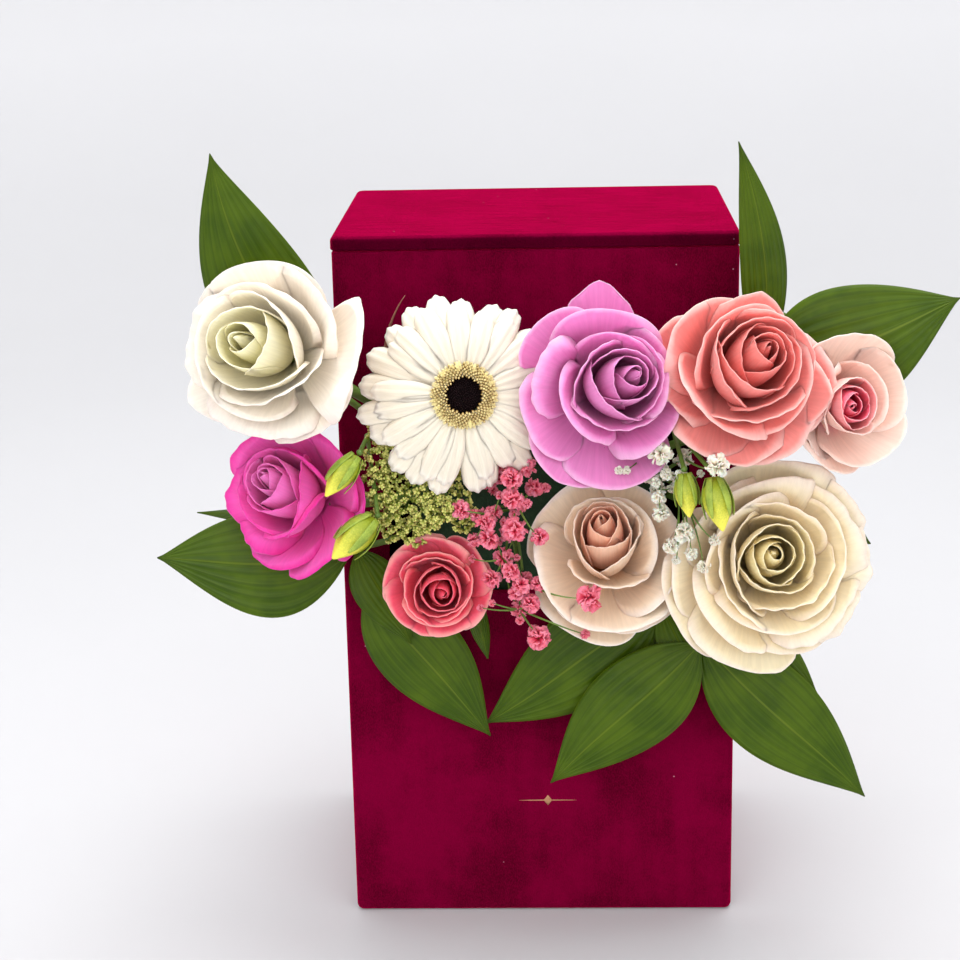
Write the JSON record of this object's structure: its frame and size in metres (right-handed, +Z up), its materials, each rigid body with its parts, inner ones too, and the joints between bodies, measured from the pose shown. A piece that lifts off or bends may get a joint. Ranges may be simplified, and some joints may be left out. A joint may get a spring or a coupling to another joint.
{
  "type": "flower box",
  "caption": "Tall velvet-covered gift box with a hinged flat lid and a front window, filled with roses, a gerbera, ruscus and fillers standing in wet foam.",
  "frame": {"origin": "middle of the flat underside of the box, on the surface that it stands on", "axes": "+Z up, -Y out of the window towards the viewer, +X to the viewer's right"},
  "size_m": [0.3342, 0.2124, 0.349],
  "materials": {
    "velvet": "short-pile velvet",
    "board": "rigid grey board",
    "cover_paper": "matt covering paper",
    "lining": "velvet-covered pad",
    "magnet": "nickel plated",
    "tray_plastic": "vacuum-formed tray",
    "wet_foam": "open-cell wet floral foam",
    "rose_white": "fresh petal",
    "rose_magenta": "fresh petal",
    "rose_pink_spray": "fresh petal",
    "rose_lilac": "fresh petal",
    "rose_coral": "fresh petal",
    "rose_peach": "fresh petal",
    "rose_blush": "fresh petal",
    "rose_ivory": "fresh petal",
    "gerbera_white": "fresh ray petal",
    "gerbera_dark": "velvety disc florets",
    "gerbera_yellow": "pollen-tipped florets",
    "stem_green": "fresh stem",
    "leaf_green": "glossy ruscus leaf",
    "filler_green": "clusters of tiny buds",
    "gypsophila_pink": "dyed gypsophila",
    "gypsophila_white": "gypsophila",
    "bud_green": "closed lisianthus bud"
  },
  "bodies": {
    "box": {"back_board": "board", "base_board": "board", "base_sheet": "cover_paper", "block_magnets": "magnet", "body_velvet": "velvet", "corner_blocks": "board", "foam_brick": "wet_foam", "foam_tray": "tray_plastic", "front_board": "board", "gerbera_eye": "gerbera_dark", "gerbera_rays": "gerbera_white", "gerbera_ring": "gerbera_yellow", "gerbera_stem": "stem_green", "green_filler": "filler_green", "green_filler_stem": "stem_green", "hinge_cloth": "velvet", "leaf_left": "leaf_green", "leaf_left_sliver": "leaf_green", "leaf_lower_centre": "leaf_green", "leaf_lower_left": "leaf_green", "leaf_lower_right": "leaf_green", "leaf_olive": "leaf_green", "leaf_right": "leaf_green", "leaf_right_back": "leaf_green", "leaf_right_edge": "leaf_green", "leaf_right_low": "leaf_green", "leaf_upper_left": "leaf_green", "leaf_upper_right": "leaf_green", "left_board": "board", "lisianthus_buds": "bud_green", "lisianthus_stems": "stem_green", "pink_gypsophila": "gypsophila_pink", "pink_gypsophila_stem": "stem_green", "right_board": "board", "rose_blush": "rose_blush", "rose_blush_stem": "stem_green", "rose_coral": "rose_coral", "rose_coral_stem": "stem_green", "rose_ivory": "rose_ivory", "rose_ivory_stem": "stem_green", "rose_lilac": "rose_lilac", "rose_lilac_stem": "stem_green", "rose_magenta": "rose_magenta", "rose_magenta_stem": "stem_green", "rose_peach": "rose_peach", "rose_peach_stem": "stem_green", "rose_pink_spray": "rose_pink_spray", "rose_pink_spray_stem": "stem_green", "rose_white": "rose_white", "rose_white_stem": "stem_green", "ruscus_stems": "stem_green", "white_gypsophila": "gypsophila_white", "white_gypsophila_stem": "stem_green"},
    "lid": {"lid_board": "board", "lid_velvet": "velvet", "lid_pad": "lining", "lid_magnets": "magnet"}
  },
  "joints": [
    {"name": "lid_hinge", "type": "hinge", "parent": "box", "child": "lid", "pos_m": [0, 0.0664, 0.3037], "axis": [-1, 0, 0], "range_deg": [0, 175], "deforming": ["hinge_cloth"]}
  ]
}
